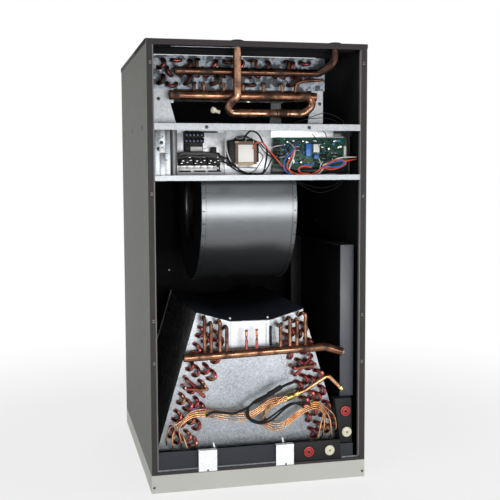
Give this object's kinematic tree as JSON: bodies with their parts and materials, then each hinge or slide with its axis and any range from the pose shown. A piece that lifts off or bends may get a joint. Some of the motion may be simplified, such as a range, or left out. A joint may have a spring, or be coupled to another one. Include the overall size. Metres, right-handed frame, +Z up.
{
  "type": "air handler",
  "caption": "Residential upflow air handler with its front panels off: A-coil with drain pans, scroll blower, control tray and hot-water coil in a grey-green steel cabinet",
  "frame": {"origin": "on the floor, at the middle of the cabinet's footprint", "axes": "x to the right seen from the open front, y towards the back, z up"},
  "size_m": [0.647, 0.7741, 1.2893],
  "materials": {
    "pale_paint": "satin",
    "green_paint": "satin",
    "brown_paint": "satin",
    "black_paint": "satin",
    "motor_paint": "gloss",
    "galvanised_steel": "spangled",
    "bright_steel": "turned",
    "dark_screw_steel": "satin",
    "black_insulation": "matt foil-faced fibre",
    "black_rubber": "matt",
    "black_fins": "black coated",
    "copper": "drawn copper",
    "brass": "machined",
    "brown_laminations": "varnished",
    "black_plastic": "matt",
    "blue_grey_plastic": "matt",
    "dark_blue_plastic": "matt",
    "red_plastic": "moulded",
    "cream_plastic": "moulded",
    "white_plastic": "moulded",
    "green_board": "solder mask",
    "black_wire": "PVC",
    "white_wire": "PVC",
    "red_wire": "PVC"
  },
  "bodies": {
    "cabinet": {"base_frame": "pale_paint", "floor_deck": "galvanised_steel", "left_side_panel": "green_paint", "right_side_panel": "green_paint", "back_panel": "green_paint", "top_panel": "brown_paint", "door_posts": "brown_paint", "door_rails": "brown_paint", "door_lips": "galvanised_steel", "side_liners": "black_insulation", "back_liner": "black_insulation", "top_liner": "black_insulation", "pipe_grommets": "black_rubber", "top_edge_strip": "black_rubber", "cabinet_screws": "dark_screw_steel", "left_coil_fins": "black_fins", "right_coil_fins": "black_fins", "coil_tube_sheets": "galvanised_steel", "coil_return_bends": "copper", "coil_top_cap": "black_plastic", "delta_plates": "galvanised_steel", "centre_plate": "galvanised_steel", "suction_header": "copper", "distributor": "brass", "capillary_tubes": "copper", "liquid_line": "copper", "sensor_lead": "black_wire", "drain_pan": "black_plastic", "side_drain_pan": "blue_grey_plastic", "port_blocks": "black_plastic", "red_drain_plugs": "red_plastic", "cream_drain_plugs": "cream_plastic", "pan_clips": "galvanised_steel", "blower_deck": "galvanised_steel", "deck_rails": "galvanised_steel", "scroll_sheet": "galvanised_steel", "left_housing_side": "galvanised_steel", "right_housing_side": "galvanised_steel", "blower_cutoff": "galvanised_steel", "motor_body": "motor_paint", "motor_bracket": "galvanised_steel", "control_tray": "galvanised_steel", "terminal_block": "black_plastic", "relay_bank": "black_plastic", "transformer": "brown_laminations", "cable_duct": "dark_blue_plastic", "control_board": "green_board", "door_switch": "white_plastic", "black_wires": "black_wire", "white_wires": "white_wire", "signal_wires": "red_wire", "heat_coil_fins": "black_fins", "heat_tube_sheets": "galvanised_steel", "heat_coil_pipes": "copper", "heat_coil_brackets": "galvanised_steel", "heat_coil_channel": "black_paint", "vent_plug": "cream_plastic"},
    "blower_rotor": {"blower_wheel": "galvanised_steel", "motor_shaft": "bright_steel"},
    "switch_button": {"switch_plunger": "white_plastic"}
  },
  "joints": [
    {"name": "blower_spin", "type": "hinge", "parent": "cabinet", "child": "blower_rotor", "pos_m": [-0.004, -0.022, 0.8], "axis": [1, 0, 0], "continuous": true},
    {"name": "plunger_press", "type": "slide", "parent": "cabinet", "child": "switch_button", "axis": [0, 1, 0], "range_m": [0, 0.004], "stiffness_N_per_m": 200, "springref_m": -0.002}
  ]
}
